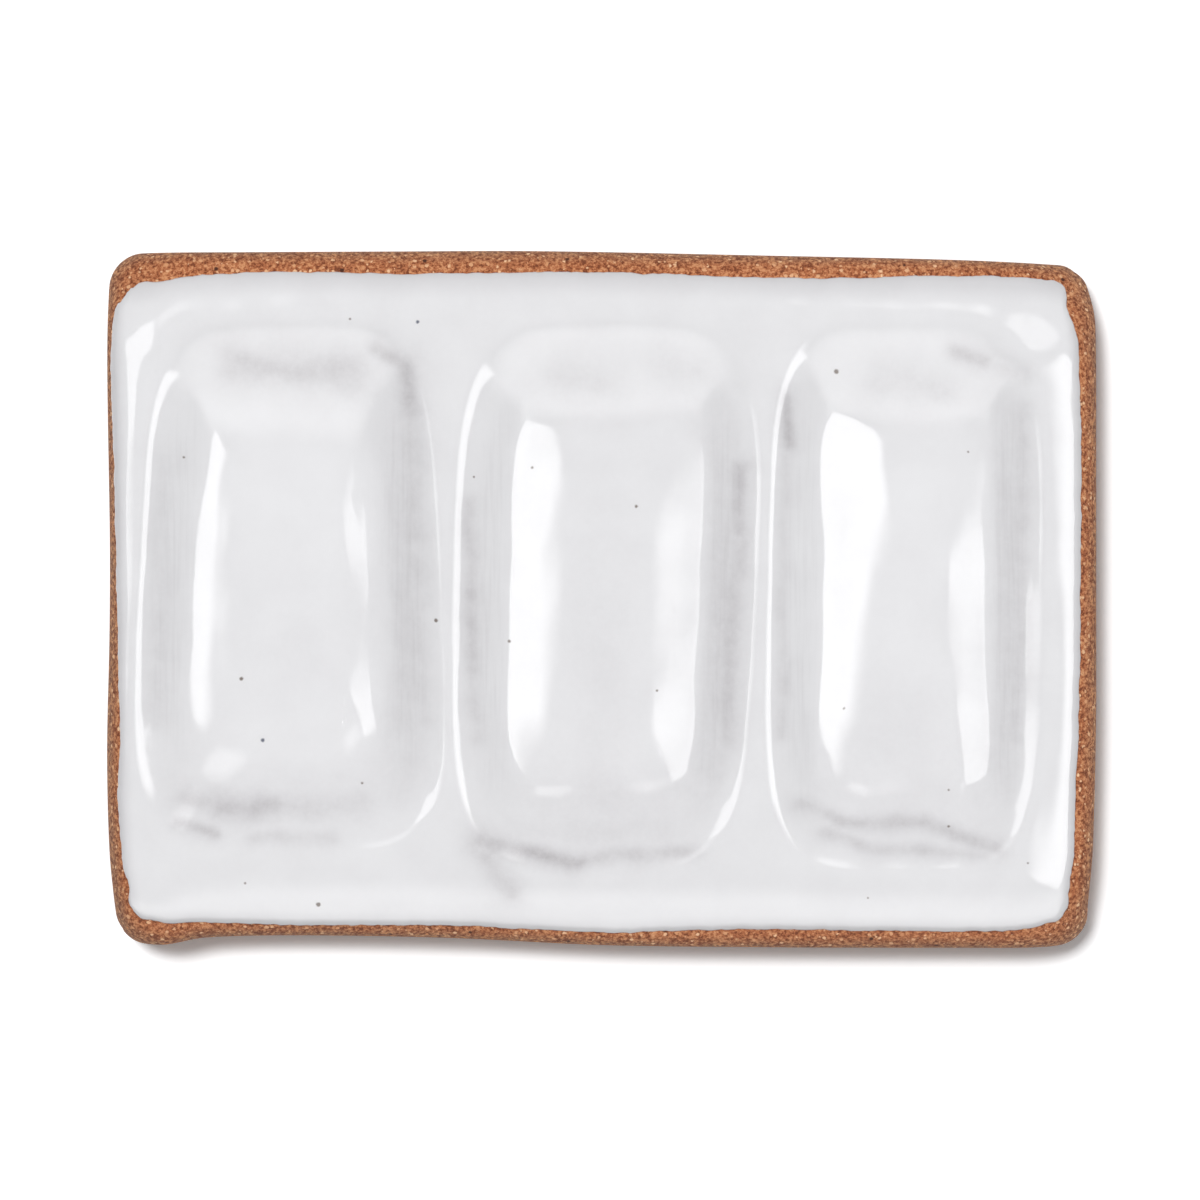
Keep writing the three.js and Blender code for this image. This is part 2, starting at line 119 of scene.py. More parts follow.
# Places where the glaze ran thin and the clay greys it, and lines of painted shade down the wells'
# side walls under the lips: from, to, half width (all mm) and strength
THIN_AND_SHADE_STROKES = (
    # left well: back wall, back right corner, right and left wall (painted shade under the lips),
    # front
    (-36.5, 23.4, -25, 23, 1.43, 0.47),
    (-22.5, 25.4, -19.6, 23.2, 0.78, 0.51),
    (-19.6, 23.2, -19, 19, 0.9, 0.6),
    (-19, 19, -18.8, 6, 1.1, 0.3),
    (-18.8, 6, -18, -12, 1.2, 0.22),
    (-44.2, 14, -44.5, -12, 0.91, 0.19),
    (-41.5, -20, -37, -20.9, 1.1, 0.48),
    (-38.5, -20.9, -33, -20.9, 0.9, 0.6),
    (-33, -20.9, -24, -20.6, 1.17, 0.26),
    (-42.6, -22.4, -38.5, -23.6, 0.5, 0.6),
    (-35, -23.8, -27, -24, 0.65, 0.3),
    # middle well: back wall, left and right wall (painted shade under the lips), front, and a run
    # over the front rim
    (-4, 22.2, 0, 22, 1.56, 0.19),
    (6.5, 24, 9.5, 22.6, 1.43, 0.19),
    (-13, 10, -13.1, 1, 0.59, 0.38),
    (-13.1, 1, -13, -7, 0.6, 0.45),
    (-13, -7, -12.6, -14, 0.65, 0.3),
    (14.2, 13.5, 13.8, 7, 0.7, 0.55),
    (13.8, 7, 13.1, -4, 0.8, 0.38),
    (13.1, -4, 12.6, -14, 0.8, 0.34),
    (12.6, 12, 12, -12, 1.17, 0.17),
    (-11.8, -24.2, -9, -25.2, 0.78, 0.64),
    (-9, -25.2, -2, -26.2, 0.65, 0.77),
    (-2, -26.2, 9.5, -25.2, 0.72, 0.42),
    (-8, -23.4, 7, -23.6, 1.56, 0.17),
    (-12.4, -24.5, -9.2, -29.4, 1.04, 0.38),
    # right well: back left corner, left wall, back wall, right wall (side walls: painted shade
    # under the lips), front
    (18.4, 20.4, 18.9, 15.4, 0.59, 0.72),
    (18.5, 15, 17.9, -14, 0.59, 0.26),
    (18.6, -6.5, 18.3, -9.5, 0.65, 0.3),
    (35.5, 24.7, 38.5, 24, 0.65, 0.55),
    (38.5, 24, 42, 22.6, 0.78, 0.26),
    (28, 21.6, 34.5, 21.2, 1.3, 0.21),
    (42.2, 19, 42.3, 6, 0.9, 0.26),
    (42.3, 6, 41.8, -14, 0.9, 0.26),
    (19.6, -20.8, 23.5, -22.3, 0.65, 0.42),
    (23.5, -22.3, 32.5, -22.4, 0.65, 0.55),
    (32.5, -22.4, 39.4, -25, 0.72, 0.51),
    (22, -23.6, 27, -25, 0.59, 0.42),
    (27, -25, 38.5, -25.6, 0.59, 0.38),
)

# Soft patches of painted shade, which darken the wells' fronts and side walls, and where the
# strength is below zero of painted light, which whitens the wells' backs, the right well's left
# wall
# and the front rim: middle, half width and half length (all mm) and strength
SHADE_AND_LIGHT_TONES = (
    (-31, 12, 8, 6, -0.08), (-36, 19, 6, 3.5, -0.06), (-31, -5, 5, 4, 0.05),
    (-33, -20, 9, 3, 0.06), (-20, 0, 1.8, 16, 0.08), (0, -6, 3.5, 14, 0.12),
    (0, -19.5, 8, 4, 0.1), (-12.3, 0, 1, 11, 0.05), (12.2, -3, 1.8, 14, 0.16),
    (30, -15, 6, 6, 0.12), (32, 12.5, 6, 4, -0.08), (19.8, 2, 2, 14, -0.1),
    (41.2, 0, 1.6, 14, 0.08), (-28, -28.5, 12, 2.5, -0.03),
)

# Grey of thin glaze all over the coat, and painted shade on the steep walls of a well (right and
# left side, back and front end), which darkens only the right walls and the front ends; and the
# shares of the way to the lip where a wall's painted shade starts, is full, starts to fade and ends
THIN_EVERYWHERE = 0.09
PAINTED_SHADE_ON_SIDES = (0.17, 0.0)
PAINTED_SHADE_ON_ENDS = (0.0, 0.08)
WALL_SHARES = (0.66, 0.8, 0.93, 1.04)

# A stroke is a dark core with this share of its strength, in a halo wider by this factor's root
CORE_SHARE, HALO_FACTOR = 0.55, 5

# Width over which the coat greys towards its edge on the front, right, back and left side: thin
# glaze at the edge, and painted shade in the wider band along the back
EDGE_FADES = (1.6, 1.4, 3.0, 1.6)

# Iron and cobalt specks in the glaze: place and radius in mm, and whether the speck is blue
SPECKS = (
    (-18.4, 27.8, 0.22, True), (-25.2, 28.1, 0.14, False), (-36.4, -8, 0.24, False),
    (-34.2, -14.2, 0.23, True), (-16.6, -2.1, 0.22, False), (-28.4, -30.6, 0.26, False),
    (-35.7, -28.4, 0.15, False), (-24.1, -18.5, 0.15, False), (-42, 14.3, 0.13, False),
    (3.5, 9.4, 0.2, False), (-9.3, -4.2, 0.2, False), (5.6, -9.2, 0.16, False),
    (-7, 13.3, 0.15, False), (-12.8, 12.3, 0.14, False), (23.6, 22.9, 0.28, False),
    (24.5, -11, 0.15, False), (37, 14.9, 0.14, False), (34.9, -22.8, 0.17, False),
    (35, -19.2, 0.14, False), (42.7, -26.4, 0.13, False), (26.7, -29.9, 0.12, False),
)

# The three wells, left to right: the power of the lip's superellipse (squareness), that of the
# floor's (inner) and the share of the way to the lip from which it turns into the lip's (turning);
# how much wider a well gets and how much it leans to the right towards the back, and how much
# shorter and deeper it is, in mm; the power with which its floor rises (flatness) from a line that
# lies off the middle and slants, in half widths; and the share of the way to the lip where the
# wall starts (foot), and how much further out it starts in the corners
WELL_SHAPES = (
    dict(squareness=4.4, inner=2.6, turning=0.42, flare=-1.3, lean=0, shorter=2.2, deeper=0.074,
         flatness=3.208, lowest=0.034, slant=-0.093, foot=0.56, corner=0.08),
    dict(squareness=4.0, inner=4.208, turning=0.504, flare=0.35, lean=0.9, shorter=0, deeper=0.28,
         flatness=2.424, lowest=-0.024, slant=0.019, foot=0.693, corner=0.049),
    dict(squareness=4.4, inner=3.585, turning=0.726, flare=-0.05, lean=0.4, shorter=0, deeper=0.398,
         flatness=2.72, lowest=0.019, slant=0.095, foot=0.659, corner=0.143),
)

# Hollows that fingers left in the floors and along the rim, and below zero low rises: middle, half
# width, half length and depth in mm
HOLLOWS = (
    (31.2, 5.5, 5, 8, 0.5),
    (-42.4, -1, 2.4, 13, 0.2),
    (21.8, 1, 2, 9, 0.08),
    (-26.3, 13.3, 2.8, 8, 0.35),
    (-25.8, -8.4, 2.8, 5.8, 0.35),
    (7.3, -8.3, 2.5, 3.9, 0.07),
    (7.5, 6.3, 1.4, 5.4, -0.09),
    (36.3, 5.3, 3.5, 3.1, 0.11),
    (36.5, -19, 1.3, 8.6, 0.15),
    (48.3, 16.3, 1.6, 38.4, -0.08),
    (44.2, -7.4, 1.6, 15.3, 0.34),
    (37.7, 33.7, 24.5, 2.7, 0.58),
    (46.8, 26.5, 1.6, 2.3, -0.2),
    (43.5, 24.3, 4.8, 1.6, -0.2),
    (41.7, 29.5, 2.3, 4.4, 0.37),
    (-47.4, 33.5, 14.5, 3.6, 0.37),
    (-46.2, 25.7, 2.4, 5.5, 0.13),
    (-47.2, 17.3, 1.6, 3.8, -0.08),
    (-2, -33.2, 40, 3, 0.35),
)

# Waves of the clay's surface, of the line where the coat ends, of the strength of the places of
# thin glaze and painted shade and of the way they drift across and along: height, length across and
# along in mm, and seed of the draw
CLAY_WAVES = ((0.02, 16, 22, 11), (0.012, 6, 10, 12))
LINE_WAVES = ((0.03, 6, 6, 31), (0.025, 1.2, 1.2, 32))
STRENGTH_WAVES = ((0.1, 3, 3, 21),)
DRIFT_ACROSS = ((0.15, 9, 9, 22),)
DRIFT_ALONG = ((0.15, 9, 9, 23),)
CLAY_SINK = 0.06  # keeps the crests of the waves under the land, in mm
COSINES = 16  # how many are added for one row of waves

# Fineness of the meshes: cells across and along the field of wells, and every how many the hidden
# faces keep one; rings round the foot, the side and the shoulder; and steps in mm over which the
# slope is measured for the coat's normal and for its steepness
CELLS_ACROSS, CELLS_ALONG, COARSER = 280, 188, 4
FOOT_RINGS, SIDE_RINGS, SHOULDER_RINGS = 6, 14, 15
KNOWN_UP_TO = 0.9  # share of the shoulder's rings whose distance from the outline is taken as known
NORMAL_STEP, STEEPNESS_STEP = 0.02, 0.05

# Rings of the base, as shares of the way to the foot; and rings from the coat's edge inwards, where
# 0 to 1 crosses the edge's rounding and 1 to 2 goes on to the field of wells, on top and hidden
BASE_RINGS = (0.94, 0.7, 0.4)
COAT_RINGS = (0.01, 0.04, 0.09, 0.16, 0.25, 0.36, 0.5, 0.66, 0.83, 1, 1.17, 1.34, 1.5, 1.67, 1.84)
HIDDEN_RINGS = (0.5, 1, 1.5)

# Slopes of a well's side walls between which the runs in the glaze come in
RUNS_SLOPES = (0.45, 0.9)

# Colours of the clay's layers: dusty where it is steep, redder patches, dark and pale sand, browner
# grains of grog; and colours of the specks
DUSTY_CLAY, RED_PATCH, DARK_SAND, PALE_SAND = "#98735A", "#A65C36", "#6B3823", "#D69B6E"
BROWN_GROG = "#CE8E62"
COBALT_SPECK, IRON_SPECK = "#2C3550", "#5A4636"

# Clay: shares of the cells that hold a grain or a pore, and a grain's height against the sand's.
# Glaze: how much the coat's edge greys, as thin glaze and, in its wider band along the back, as
# painted shade; and in mm, how far the ragged grain bleeds a speck, and how far inside its radius a
# speck starts and is full
GRAINS_SHARE, PORES_SHARE, GRAIN_RELIEF = 0.5, 0.2, 0.5
EDGE_GREY = 0.36
SPECK_BLEED, SPECK_RIM, SPECK_CORE = 0.25, 0.1, 0.25

# Lamps: name, place in metres, width and height, turn in its own plane in degrees, radiance where 1
# shows as white, whether it lights matt surfaces, and for a lamp that shows in gloss the shares of
# it over which its two sides, its far end and its near end fade
LAMPS = (
    ("softbox_left", (-0.473, 0.106, 0.8), (0.28, 0.374), -56.9, 3.1, False, (0.12, 0.12, 0.47)),
    ("softbox_right", (0.47, -0.039, 0.8), (0.429, 0.441), -30.0, 3.9, True, (0.12, 0.1, 0.45)),
    ("back_left", (-0.25, 0.33, 0.8), (0.42, 0.2), 0, 1.4, False, (0.4, 0.4, 0.4)),
    ("back_right", (0.21, 0.43, 0.8), (0.32, 0.2), 0, 2.0, False, (0.4, 0.4, 0.4)),
    ("front_card", (0.0, -0.7, 0.7), (2.2, 1.2), 0, 1.8, False, (0.2, 0.4, 0.35)),
    ("key", (-0.27, 0.3, 1.38), (0.3, 0.3), 0, 36.5, True, None),
)

# Floor: half width in metres, how far it lies below the slab, and its white as it lights and as it
# is seen, which is just past full, so that only the shadow darkens it
FLOOR_REACH = 3.0
FLOOR_DROP = 0.02 * MM
PAPER_LIT, PAPER_SEEN = (0.8, 0.8, 0.8, 1), (1.33, 1.35, 1.37, 1)
WORLD_LIT = 0.28  # strength with which the world lights, where 1 shows as white

# Camera: lens and sensor in mm, and place in metres
LENS, SENSOR = 150, 36
CAMERA_PLACE = (-0.15 * MM, -0.05 * MM, 0.5126)


class PaletteSizes(bpy.types.PropertyGroup):
    """Sizes of the palette that someone would change."""

    left_well: bpy.props.FloatProperty(
        name="Left well", description="Width of the left well between its lips",
        default=27.7 * MM, unit="LENGTH")
    middle_well: bpy.props.FloatProperty(
        name="Middle well", description="Width of the middle well between its lips",
        default=27.5 * MM, unit="LENGTH")
    right_well: bpy.props.FloatProperty(
        name="Right well", description="Width of the right well between its lips",
        default=25.1 * MM, unit="LENGTH")
    well_length: bpy.props.FloatProperty(
        name="Well length", description="Length of the wells between their end lips",
        default=51.4 * MM, unit="LENGTH")
    wall_drop: bpy.props.FloatProperty(
        name="Wall drop", description="Height of the steep wall under a well's lip",
        default=1.2 * MM, unit="LENGTH")
    dish_drop: bpy.props.FloatProperty(
        name="Dish drop", description="Depth of the shallow dish at the foot of the wall",
        default=4.2 * MM, unit="LENGTH")
    glaze_on_land: bpy.props.FloatProperty(
        name="Glaze on the land", description="Thickness of the coat between and round the wells",
        default=0.6 * MM, unit="LENGTH")
    glaze_on_lip: bpy.props.FloatProperty(
        name="Glaze on a lip", description="Thickness of the coat where it ran thin over a lip",
        default=0.4 * MM, unit="LENGTH")
    glaze_in_well: bpy.props.FloatProperty(
        name="Glaze in a well", description="Thickness of the coat where it pooled",
        default=1.1 * MM, unit="LENGTH")
    coat_roll: bpy.props.FloatProperty(
        name="Edge of the coat", description="Width over which the coat swells up from its edge",
        default=1.0 * MM, unit="LENGTH")


class PaletteColours(bpy.types.PropertyGroup):
    """Colours of the palette, as sRGB hex values."""

    clay: bpy.props.StringProperty(
        name="Clay", description="Fired red clay between the grains", default="#AE6B47")
    grog: bpy.props.StringProperty(
        name="Grog", description="Pale grains of fired clay in the body", default="#F0C59C")
    pore: bpy.props.StringProperty(
        name="Pores", description="Open pores and iron grains in the clay", default="#4A2A1E")
    glaze: bpy.props.StringProperty(
        name="Glaze", description="White glaze at its full thickness", default="#E3E3E5")
    # Also the colour of the painted shade on the glaze
    thin_glaze_and_shade: bpy.props.StringProperty(
        name="Thin glaze", description="Glaze through which the clay greys", default="#B2AFB2")


def linear(hex_colour):
    """An sRGB hex value as a linear colour with alpha."""
    srgb = np.array([int(hex_colour[i:i + 2], 16) for i in (1, 3, 5)]) / 255
    value = np.where(srgb <= 0.04045, srgb / 12.92, ((srgb + 0.055) / 1.055) ** 2.4)
    return (*value, 1.0)


def smoothstep(value, low, high):
    """A cubic ease from 0 at low to 1 at high."""
    share = np.clip((value - low) / (high - low), 0, 1)
    return share * share * (3 - 2 * share)


def waves(x, y, rows):
    """A smooth wander: for each row of a table, its height times a sum of cosines of about unit
    size, each with a drawn direction and phase, and with 0.6 to 1.6 waves over the length."""
    total = 0
    x, y = np.asarray(x)[..., None], np.asarray(y)[..., None]
    for height, length_x, length_y, seed in rows:
        draw = np.random.default_rng(seed)
        turn = draw.uniform(0, 2 * np.pi, COSINES)
        pace = 2 * np.pi * draw.uniform(0.6, 1.6, COSINES)
        phase = draw.uniform(0, 2 * np.pi, COSINES)
        angle = x * np.cos(turn) * pace / length_x + y * np.sin(turn) * pace / length_y + phase
        total = total + height * np.cos(angle).sum(axis=-1) / np.sqrt(COSINES / 2)
    return total


def bells(x, y, rows):
    """Soft bells added: for each row of a table, its last number times e to minus the square of the
    distance from its middle, counted in its half width and half length."""
    total = 0
    for middle_x, middle_y, half_width, half_length, height in rows:
        away = ((x - middle_x) / half_width) ** 2 + ((y - middle_y) / half_length) ** 2
        total = total + height * np.exp(-away)
    return total


def at_height(places, height):
    """Places in plan as points, all at one height or each at its own."""
    return np.column_stack([places, np.broadcast_to(height, len(places))])


def follow(table, place):
    """The value of a closed table at places round the slab.

    Between two pairs it is the cubic whose slope at each pair is that of the line joining the
    pairs before and after it, and it never falls below zero.
    """
    where, value = np.array(table, float).T
    where = np.concatenate([where[-1:] - 4, where, where[:2] + 4])
    value = np.concatenate([value[-1:], value, value[:2]])
    at = np.mod(place, 4)
    i = np.clip(np.searchsorted(where, at, side="right") - 1, 1, len(where) - 3)
    span = where[i + 1] - where[i]
    share = (at - where[i]) / span
    slope_in = (value[i + 1] - value[i - 1]) / (where[i + 1] - where[i - 1]) * span
    slope_out = (value[i + 2] - value[i]) / (where[i + 2] - where[i]) * span
    rise = value[i + 1] - value[i]
    bend = 3 * rise - 2 * slope_in - slope_out
    twist = slope_in + slope_out - 2 * rise
    return np.maximum(value[i] + share * (slope_in + share * (bend + share * twist)), 0)


class Side:
    """One side of the slab: its number, the way it runs, its half length and how far out it is."""

    def __init__(self, index, along, half, out):
        self.index, self.along, self.half, self.out = index, along, half, out
        self.bands = BANDS[index]

    def beside(self, x, y):
        """Distance along the side from its middle, and distance out from the slab's middle."""
        ax, ay = self.along
        return ax * x + ay * y, ay * x - ax * y

    def read(self, table, run):
        """A table's value at a distance along the side."""
        return follow(table, self.index + (np.clip(run / self.half, -1, 1) + 1) / 2)

    def face(self, x, y):
        """The outline point and outward normal that points on the field's edge look out to.

        The side runs straight and then half way round its two rounded corners. Each point is
        carried outwards and, by the fourth power of its share of the way, towards the corner.
        """
        ax, ay = self.along
        start, _ = self.beside(x, y)
        sign = np.sign(start)
        end = self.half - np.where(start < 0, *self.bands)
        straight = self.half - CORNER_RADIUS
        whole = straight + CORNER_RADIUS * np.pi / 4
        run = np.abs(start) + (whole - end) * (np.abs(start) / end) ** 4
        turn = np.maximum(run - straight, 0) / CORNER_RADIUS
        rounded = sign * (np.minimum(run, straight) + CORNER_RADIUS * np.sin(turn))
        radius = CORNER_RADIUS - self.read(EDGE_SHORTFALL, rounded)
        a = sign * (np.minimum(run, straight) + radius * np.sin(turn))
        b = self.out - CORNER_RADIUS + radius * np.cos(turn)
        edge = np.stack([ax * a + ay * b, ay * a - ax * b], axis=-1)
        leaning, upright = sign * np.sin(turn), np.cos(turn)
        normal = np.stack([ax * leaning + ay * upright, ay * leaning - ax * upright], axis=-1)
        return edge, normal, self.read(BARE_CLAY, rounded)


SIDES = (
    Side(0, (1, 0), HALF_LENGTH, HALF_WIDTH),
    Side(1, (0, 1), HALF_WIDTH, HALF_LENGTH),
    Side(2, (-1, 0), HALF_LENGTH, HALF_WIDTH),
    Side(3, (0, -1), HALF_WIDTH, HALF_LENGTH),
)


class Form:
    """The palette's surfaces as functions of a place in plan, in mm, from the panel's sizes."""

    def __init__(self, sizes):
        self.wall = sizes.wall_drop / MM
        self.dish = sizes.dish_drop / MM
        self.on_land = sizes.glaze_on_land / MM
        self.on_lip = sizes.glaze_on_lip / MM
        self.in_well = sizes.glaze_in_well / MM
        self.roll = sizes.coat_roll / MM
        self.land = TOP - self.on_land
        widths = [sizes.left_well / MM, sizes.middle_well / MM, sizes.right_well / MM]
        length = sizes.well_length / MM
        self.wells = []
        left = LEFT_MARGIN - HALF_LENGTH
        for width, shape, ridge in zip(widths, WELL_SHAPES, (*RIDGES, 0)):
            half_length = (length - shape["shorter"]) / 2
            self.wells.append(SimpleNamespace(
                x=left + width / 2, y=HALF_WIDTH - BACK_MARGIN - half_length,
                half_width=width / 2, half_length=half_length, **shape))
            left += width + ridge

    def inside(self, x, y):
        """Distance in from the slab's outline, and how far over the pillow a place lies.

        In a corner the distance is measured from the centre of its rounding. The second is 0 in the
        middle and 1 at the edge: the root of the squares of the four sides' shares.
        """
        gaps, sunk = [], 0
        for side in SIDES:
            run, reach = side.beside(x, y)
            gap = side.out - reach - side.read(EDGE_SHORTFALL, run)
            sunk = sunk + np.clip(1 - gap / side.read(PILLOW_WIDTH, run), 0, 1) ** 2
            gaps.append(gap)
        across = np.maximum(CORNER_RADIUS - np.minimum(gaps[1], gaps[3]), 0)
        down = np.maximum(CORNER_RADIUS - np.minimum(gaps[0], gaps[2]), 0)
        in_corner = (across > 0) | (down > 0)
        nearest = np.minimum.reduce(gaps)
        distance = np.where(in_corner, CORNER_RADIUS - np.hypot(across, down), nearest)
        return distance, np.sqrt(sunk)

    def in_well_at(self, well, x, y):
        """Shares of the way across and along a well, the share of the way to its lip, and how far
        that way turns towards the well's end. The share is the radius of a superellipse, whose
        power goes from the floor's to the lip's from the share called turning on."""
        v = (y - well.y) / well.half_length
        bow = np.tanh(v)
        u = (x - well.x - well.lean * bow) / (well.half_width + well.flare * bow)
        across, along = np.maximum(np.abs(u), 1e-6), np.maximum(np.abs(v), 1e-6)
        outer = (across ** well.squareness + along ** well.squareness) ** (1 / well.squareness)
        power = well.inner + (well.squareness - well.inner) * smoothstep(outer, well.turning, 1)
        radius = (across ** power + along ** power) ** (1 / power)
        return u, v, radius, (along / radius) ** power

    def pressed(self, well, x, y):
        """A well's pressed surface: a dish inside a wall that eases down from the lip.

        Near its middle the dish rises as the distance from its lowest line to the power flatness,
        plus v to the fourth. Towards the lip it comes to rise as the radius, to that same power on
        the sides and to the fourth at the ends, and so it meets the lip level all round. The wall
        starts further out in the corners, where the way turns half towards the end.
        """
        u, v, radius, towards_end = self.in_well_at(well, x, y)
        off = np.abs(u - (well.lowest + well.slant * v) * np.maximum(1 - u * u, 0))
        middle = off ** well.flatness + v ** 4
        rim = radius ** (well.flatness + (4 - well.flatness) * towards_end)
        rise = middle + (rim - middle) * smoothstep(radius, DISH_MIDDLE, 1)
        foot = well.foot + well.corner * 4 * towards_end * (1 - towards_end)
        wall = smoothstep(WALL_TOP - radius, 0, WALL_TOP - foot)
        return self.land - (self.dish + well.deeper) * (1 - rise) - (self.wall - well.deeper) * wall

    def clay_height(self, x, y, known=None):
        """The clay's height, with the distance in from the outline where it is known already.

        It is the lower of land and wells, less a quarter of the lip's height times the square of
        how near the two are; sunk like a pillow by the mean of a square and a fourth power, and by
        the brow's quarter ellipse; then pressed by the hollows that fingers left.
        """
        height = np.full(np.shape(x), self.land)
        for well in self.wells:
            other = self.pressed(well, x, y)
            near = np.maximum(BLEND_LIP - np.abs(height - other), 0) / BLEND_LIP
            height = np.minimum(height, other) - near * near * BLEND_LIP / 4
        distance, over = self.inside(x, y)
        rest = 1 - np.clip((distance if known is None else known) / BROW_WIDTH, 0, 1)
        height = height - PILLOW_DROP * (over ** 2 + over ** 4) / 2
        height = height - BROW_DROP * (1 - np.sqrt(1 - rest * rest))
        return height + self.hand_relief(x, y) * smoothstep(distance, 0, HOLLOWS_START)

    def hand_relief(self, x, y):
        """Finger hollows as soft bells, and long waves of a few hundredths of a millimetre."""
        return waves(x, y, CLAY_WAVES) - CLAY_SINK - bells(x, y, HOLLOWS)

    def thickness(self, x, y):
        """The coat's thickness: full on the land, thin over the lips and pooled in the wells."""
        coat = np.full(np.shape(x), self.on_land)
        for well in self.wells:
            _, _, radius, _ = self.in_well_at(well, x, y)
            up_wall = smoothstep(radius, POOL_END, 1)
            over_lip = smoothstep(radius, 1, LAND_START)
            pooled = self.in_well + (self.on_lip - self.in_well) * up_wall
            coat = pooled + (coat - pooled) * over_lip
        return coat

    def slope(self, x, y, step_x, step_y):
        """The clay's slope: its rise from a step before a place to a step after it, over both."""
        rise = self.clay_height(x + step_x, y + step_y) - self.clay_height(x - step_x, y - step_y)
        return rise / (2 * (step_x + step_y))

    def clay(self, x, y, known=None):
        """Points of the clay's top."""
        return np.stack([x, y, self.clay_height(x, y, known)], axis=-1)

    def coat(self, x, y, swell=1.0):
        """Points of the coat's surface: out from the clay along its normal by the thickness, which
        swells from nothing at the coat's edge in a quarter ellipse as swell goes from 0 to 1."""
        slope_x = self.slope(x, y, NORMAL_STEP, 0)
        slope_y = self.slope(x, y, 0, NORMAL_STEP)
        normal = np.stack([-slope_x, -slope_y, np.ones_like(slope_x)], axis=-1)
        normal /= np.linalg.norm(normal, axis=-1, keepdims=True)
        rise = self.thickness(x, y) * np.sqrt(1 - (1 - swell) ** 2)
        return self.clay(x, y) + normal * rise[..., None]

    def thinness_and_shade(self, x, y):
        """How grey the coat looks, from 0 to 1: an even grey of thin glaze and soft patches of
        painted shade and painted light, plus the largest of the painted shade on the steep walls
        (right walls and front ends) and of the strokes of thin glaze and painted shade, which drift
        and vary in strength."""
        broken = 1 + waves(x, y, STRENGTH_WAVES)
        # An even grey of thin glaze, with soft patches of painted shade and painted light
        patches = THIN_EVERYWHERE + bells(x, y, SHADE_AND_LIGHT_TONES)
        thin_and_shade = np.zeros(np.shape(x))
        # Painted shade on the wells' steep walls: on the right walls and at the front ends
        for well in self.wells:
            u, v, radius, towards_end = self.in_well_at(well, x, y)
            side, end = np.where(u > 0, *PAINTED_SHADE_ON_SIDES), np.where(v > 0, *PAINTED_SHADE_ON_ENDS)
            starts, full, fades, ends = WALL_SHARES
            on_wall = smoothstep(radius, starts, full) * smoothstep(radius, ends, fades)
            thin_and_shade = np.maximum(thin_and_shade, on_wall * (side + (end - side) * towards_end))
        drift_x, drift_y = waves(x, y, DRIFT_ACROSS), waves(x, y, DRIFT_ALONG)
        # Strokes of thin glaze, and lines of painted shade under the side lips
        for x0, y0, x1, y1, half_width, strength in THIN_AND_SHADE_STROKES:
            dx, dy = x1 - x0, y1 - y0
            from_x, from_y = x + drift_x - x0, y + drift_y - y0
            share = np.clip((from_x * dx + from_y * dy) / (dx * dx + dy * dy), 0, 1)
            away = np.hypot(from_x - share * dx, from_y - share * dy) / half_width
            core, halo = np.exp(-away * away), np.exp(-away * away / HALO_FACTOR)
            thin_and_shade = np.maximum(thin_and_shade, strength * (CORE_SHARE * core + (1 - CORE_SHARE) * halo))
        return np.clip(patches + thin_and_shade * broken, 0, 1)

    def near_line(self, x, y):
        """How near a place is to the coat's edge: 1 on it, easing to 0 over each side's width."""
        # The grey at the coat's edge: thin glaze, and painted shade in the wider band along the
        # back
        near = np.zeros(np.shape(x))
        for side, width in zip(SIDES, EDGE_FADES):
            run, reach = side.beside(x, y)
            gap = side.out - reach - side.read(EDGE_SHORTFALL, run) - side.read(BARE_CLAY, run)
            near = np.maximum(near, 1 - smoothstep(gap, 0, width))
        return near


def field_grid(step):
    """Plan places over the wells and the land between them, as rows from front to back."""
    (left, right), (front, back) = BANDS[:2]
    across = np.linspace(left - HALF_LENGTH, HALF_LENGTH - right, CELLS_ACROSS // step + 1)
    along = np.linspace(front - HALF_WIDTH, HALF_WIDTH - back, CELLS_ALONG // step + 1)
    return np.meshgrid(across, along)


def round_field(grid):
    """A grid's outer entries in order round it, as one list for each side."""
    return grid[0, :-1], grid[:-1, -1], grid[-1, :0:-1], grid[:0:-1, 0]


class Rim:
    """Places round the slab, each on a line from the outline in to the field's edge."""

    def __init__(self, step):
        x, y = field_grid(step)
        edges, normals, bare = zip(*(
            side.face(a, b) for side, a, b in zip(SIDES, round_field(x), round_field(y))))
        self.edge = np.concatenate(edges)
        self.bare = np.concatenate(bare) + waves(*self.edge.T, LINE_WAVES)
        self.field = np.stack([np.concatenate(round_field(a)) for a in (x, y)], axis=-1)
        inward = self.field - self.edge
        self.inward = inward / -np.sum(inward * np.concatenate(normals), axis=-1, keepdims=True)

    def inset(self, distance):
        """Places that lie in from the outline, all by one distance or each by its own."""
        return self.edge + self.inward * np.asarray(distance)[..., None]

    def under_coat(self, roll, share):
        """Places under the coat's edge: share 0 to 1 crosses its rounded edge, 1 to 2 goes on to
        the field. Also gives how far the coat has swelled there."""
        start = self.inset(self.bare)
        whole = np.linalg.norm(self.field - start, axis=-1)
        width = np.minimum(roll, whole / 2)
        gap = width * min(share, 1) + (whole - width) * max(share - 1, 0)
        places = start + (self.field - start) * (gap / whole)[:, None]
        return places, min(share, 1)


